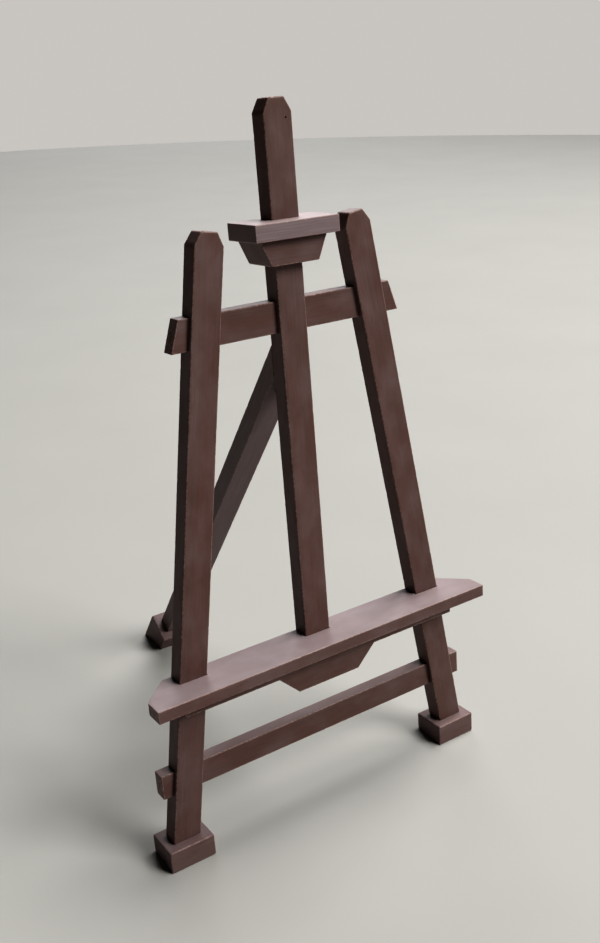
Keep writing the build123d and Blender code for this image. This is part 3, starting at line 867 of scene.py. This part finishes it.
def build_tray():
    """The tray from left to right, clipped at its back corners and notched round the posts."""
    points = seen("tray")
    (_, front, bottom), (end, back, top) = reach(points)
    short = at(points, 0, end)[:, 1].max()
    clip = at(points, 1, back)[:, 0].max()
    thick, middle = top - bottom, (bottom + top) / 2
    face = reach("mast")[0][1]
    size = (-thick / 2, thick / 2)
    ends = [(-end, front, short, *size, 0, 0), (-clip, front, back, *size, 0, 0),
            (clip, front, back, *size, 0, 0), (end, front, short, *size, 0, 0)]
    cuts = []
    for left, right, lean in crossings(middle, True):
        cuts += notch(left, right, (front, back, *size, 0, lean), (front, face, *size, 0, lean))
    # The tray gets a little painted sheen and the full painted top light on its upper face
    wood_piece("tray", "frame", (X, Y, Z), (0, 0, middle), ends[:2] + cuts + ends[2:],
               painted_sheen=0.12, top_light_share=1.0)


def build_apron():
    """The apron from left to right, a strip that drops to a tongue in the middle."""
    points = seen("tray_apron")
    (_, front, bottom), (end, back, top) = reach(points)
    strip = at(points, 0, end)[:, 2].min()
    tongue = at(points, 2, bottom)[:, 0].max()
    level = at(at(points, 1, front), 2, strip)
    shoulder = level[np.abs(level[:, 0]) < end * STRIP_INSIDE, 0].max()
    half_keys = [(tongue, bottom), (shoulder, strip), (end, strip)]
    keys = [(across, low - top, 0, 0, back - front, 0, 0) for across, low in (
        *((-across, low) for across, low in half_keys[::-1]), *half_keys)]
    wood_piece("tray_apron", "frame", (X, Z, Y), (0, front, top), keys, name="apron_wood")


class EASEL_OT_feet(bpy.types.Operator):
    """Build the two front feet"""
    bl_idname = "easel.feet"
    bl_label = "Front Feet"

    def execute(self, context):
        for node in ("left_foot", "right_foot"):
            low, high = reach(node)
            middle = (low + high) / 2
            half = (high - low) / 2
            floor = middle[1] * LEAN_SLOPE
            size = (-half[0], half[0], -half[1], half[1])
            keys = [(0, *size, 0, LEAN_SLOPE), (high[2] - floor, *size, 0, 0)]
            # The feet get a little painted sheen
            wood_piece(node, "frame", (Z, X, Y), (middle[0], middle[1], floor), keys,
                       low_hole=FOOT_HOLE, fibre=1, painted_sheen=0.2, soft=True)
        return {"FINISHED"}


def back_leg_lines():
    """The back leg's own directions, down it and through it, and its top front corner."""
    points = seen("back_leg")
    top = points[np.argmax(points[:, 2])]
    far = points[np.argmax(points[:, 1])]
    down = np.array((0.0, far[1] - top[1], far[2] - top[2]))
    down /= np.linalg.norm(down)
    through = np.array((0.0, -down[2], down[1]))
    return down, through, np.array((0.0, top[1], top[2]))


class EASEL_OT_back_leg(bpy.types.Operator):
    """Build the back leg and its foot"""
    bl_idname = "easel.back_leg"
    bl_label = "Back Leg"

    def execute(self, context):
        down, through, origin = back_leg_lines()

        def local(node):
            points = seen(node)
            return np.column_stack(((points - origin) @ down, points[:, 0],
                                    (points - origin) @ through))

        leg = local("back_leg")
        (_, left, front), (bottom, right, back) = reach(leg)
        high_front = at(leg, 2, front)[:, 0].min()
        high_back = at(leg, 2, back)[:, 0].min()
        slant = (high_back - high_front) / (back - front)
        size = (left, right, front, back)
        keys = [(high_front - slant * front, *size, 0, slant),
                (high_front + BEVEL_REACH, *size, 0, 0), (bottom, *size, 0, 0)]
        # The back leg gets a strong painted sheen, painted light on its face
        wood_piece("back_leg", "back_leg", (down, X, through), origin, keys, painted_sheen=0.55)

        foot = local("back_foot")
        (high, left, near), (_, right, far) = reach(foot)
        low_near = at(foot, 2, near)[:, 0].max()
        low_far = at(foot, 2, far)[:, 0].max()
        slant = (low_far - low_near) / (far - near)
        size = (left, right, near, far)
        keys = [(slant * near - low_near, *size, 0, -slant), (-high, *size, 0, 0)]
        # The back foot gets a little painted sheen
        wood_piece("back_foot", "back_leg", (-down, X, through), origin, keys,
                   low_hole=FOOT_HOLE, fibre=1, painted_sheen=0.2, soft=True)
        return {"FINISHED"}


class EASEL_OT_holder(bpy.types.Operator):
    """Build the sliding holder's bar and bracket"""
    bl_idname = "easel.holder"
    bl_label = "Sliding Holder"

    def execute(self, context):
        mast_low, mast_high = reach("mast")
        way = (mast_low[0] - SLIDE_GAP, mast_high[0] + SLIDE_GAP,
               mast_low[1] - SLIDE_GAP, mast_high[1] + SLIDE_GAP)
        # The bar gets a strong painted sheen and the bracket almost none; both get painted top light
        for node, painted_sheen in (("holder_bracket", 0.05), ("holder_bar", 0.95)):
            points = seen(node)
            low, high = reach(points)
            bottom = at(points, 2, low[2])[:, 0].max()
            top = at(points, 2, high[2])[:, 0].max()
            keys = [(0, -bottom, bottom, low[1], high[1], 0, 0),
                    (high[2] - low[2], -top, top, low[1], high[1], 0, 0)]
            wood_piece(node, "holder", (Z, X, Y), (0, 0, low[2]), keys, way=way, fibre=1,
                       painted_sheen=painted_sheen, top_light_share=0.8)
        return {"FINISHED"}


class EASEL_OT_metal(bpy.types.Operator):
    """Give the screws, hinge, insert and thumbscrew their finishes"""
    bl_idname = "easel.metal"
    bl_label = "Metal Finishes"

    def execute(self, context):
        settings = context.scene.easel_metal
        finishes = {
            "brass": worn_metal("aged_brass", settings.brass_colour, settings.brass_dull,
                                roughness=0.26),
            "dark_bronze": worn_metal("dark_bronze", settings.bronze_colour,
                                      settings.bronze_dull, roughness=0.34),
            "screw_steel": worn_metal("plated_steel", settings.steel_colour,
                                      settings.steel_dull, roughness=0.32)}
        slots = {part["node"]: part["material_slot"] for part in frame["record"]["subparts"]}
        for node, piece in frame["nodes"].items():
            if slots[node] in finishes:
                piece.data.materials.clear()
                piece.data.materials.append(finishes[slots[node]])
        return {"FINISHED"}


class EASEL_OT_stage(bpy.types.Operator):
    """Set the floor, the lights and the camera"""
    bl_idname = "easel.stage"
    bl_label = "Floor, Lights and Camera"

    def execute(self, context):
        settings = context.scene.easel_stage
        make_floor(settings)
        make_lights(settings)
        make_camera(settings)
        return {"FINISHED"}


def make_floor(settings):
    """A round pale floor just under the feet: point = (r cos t, r sin t), r by rings."""
    turn = np.linspace(0, 2 * np.pi, FLOOR_SIDES + 1)[:-1]
    circle = np.column_stack((np.cos(turn), np.sin(turn)))
    flat = (FLOOR_RINGS[:, None, None] * circle).reshape(-1, 2)
    flat = np.concatenate((flat, ((0.0, 0.0),)))
    points = np.column_stack((flat, np.full(len(flat), -FLOOR_DROP)))
    spin = np.arange(FLOOR_SIDES)
    after = (spin + 1) % FLOOR_SIDES
    faces = np.column_stack((spin, after, np.full(FLOOR_SIDES, len(flat) - 1))).tolist()
    for ring in range(len(FLOOR_RINGS) - 1):
        low, high = ring * FLOOR_SIDES, (ring + 1) * FLOOR_SIDES
        faces += np.column_stack((low + spin, high + spin, high + after, low + after)).tolist()
    mesh = bpy.data.meshes.new("floor")
    mesh.from_pydata(points.tolist(), [], faces)
    made = Nodes("pale_floor")
    place = made.add("ShaderNodeTexCoord").outputs["Object"]
    cloud = made.noise(place, *FLOOR_CLOUDS)
    colour = Vector(settings.floor_colour)
    base = made.mix(cloud, *(tuple(colour * share) for share in FLOOR_SHADES))
    made.link(base, made.shader.inputs["Base Color"])
    made.shader.inputs["Roughness"].default_value = FLOOR_ROUGHNESS
    made.shader.inputs["Specular IOR Level"].default_value = FLOOR_SPECULAR
    mesh.materials.append(made.material)
    floor = bpy.data.objects.new("floor", mesh)
    bpy.context.scene.collection.objects.link(floor)


def soft_light(name, power, place, size, colour):
    """A square soft light turned to the easel's middle."""
    data = bpy.data.lights.new(name, "AREA")
    data.size = size
    data.energy = power
    data.color = colour
    light = bpy.data.objects.new(name, data)
    bpy.context.scene.collection.objects.link(light)
    light.location = place
    aim = Vector((0, 0, CAD_BOX[1][2] * AIM_HEIGHT))
    light.rotation_euler = (aim - Vector(place)).to_track_quat("-Z", "Y").to_euler()


def make_lights(settings):
    """A wide light high on the right, a window behind, a fill in front and a dim room."""
    soft_light("key_light", settings.key_power, *KEY_LIGHT)
    soft_light("window_light", settings.window_power, *WINDOW_LIGHT)
    soft_light("fill_light", settings.fill_power, *FILL_LIGHT)
    world = bpy.data.worlds.new("room")
    world.use_nodes = True
    nodes, links = world.node_tree.nodes, world.node_tree.links
    shade = nodes["Background"]
    shade.inputs["Color"].default_value = ROOM_TINT
    path = nodes.new("ShaderNodeLightPath")
    strength = nodes.new("ShaderNodeMapRange")
    strength.inputs["To Min"].default_value = settings.room_light
    strength.inputs["To Max"].default_value = settings.backdrop_light
    links.new(path.outputs["Is Camera Ray"], strength.inputs["Value"])
    links.new(strength.outputs["Result"], shade.inputs["Strength"])
    bpy.context.scene.world = world


def make_camera(settings):
    """The camera on the easel's left, a little above it and looking down."""
    data = bpy.data.cameras.new("camera")
    data.sensor_width = SENSOR_WIDTH
    data.lens = settings.lens
    data.shift_x, data.shift_y = CAMERA_SHIFT
    data.clip_start, data.clip_end = CAMERA_CLIP
    camera = bpy.data.objects.new("camera", data)
    bpy.context.scene.collection.objects.link(camera)
    right, up = Vector(CAMERA_RIGHT), Vector(CAMERA_UP)
    turn = Matrix((right, up, right.cross(up))).transposed()
    camera.matrix_world = Matrix.Translation(settings.camera_place) @ turn.to_4x4()
    bpy.context.scene.camera = camera
    bpy.context.scene.view_settings.view_transform = "Standard"
    bpy.context.scene.view_settings.look = "High Contrast"


class EASEL_PT_panel(bpy.types.Panel):
    """Every step of the easel, in order"""
    bl_label = "Tabletop Easel"
    bl_idname = "EASEL_PT_panel"
    bl_space_type = "VIEW_3D"
    bl_region_type = "UI"
    bl_category = "Easel"

    def draw(self, context):
        for step in STEPS:
            self.layout.operator(step.bl_idname)
        for name in ("easel_wood", "easel_metal", "easel_stage"):
            settings = getattr(context.scene, name)
            box = self.layout.box()
            for key in settings.bl_rna.properties.keys():
                if key not in ("rna_type", "name"):
                    box.prop(settings, key)


STEPS = (EASEL_OT_posts, EASEL_OT_rails, EASEL_OT_tray, EASEL_OT_feet, EASEL_OT_back_leg,
         EASEL_OT_holder, EASEL_OT_metal, EASEL_OT_stage)
GROUPS = {"easel_wood": EASEL_PG_wood, "easel_metal": EASEL_PG_metal,
          "easel_stage": EASEL_PG_stage}


def register():
    """Adds the settings, operators and panel."""
    for item in (*GROUPS.values(), *STEPS, EASEL_PT_panel):
        bpy.utils.register_class(item)
    for name, group in GROUPS.items():
        setattr(bpy.types.Scene, name, bpy.props.PointerProperty(type=group))


def unregister():
    """Takes them away again."""
    for name in GROUPS:
        delattr(bpy.types.Scene, name)
    for item in (EASEL_PT_panel, *reversed(STEPS), *GROUPS.values()):
        bpy.utils.unregister_class(item)


def main():
    register()
    for step in STEPS:
        group, name = step.bl_idname.split(".")
        getattr(getattr(bpy.ops, group), name)()


if __name__ == "__main__":
    main()
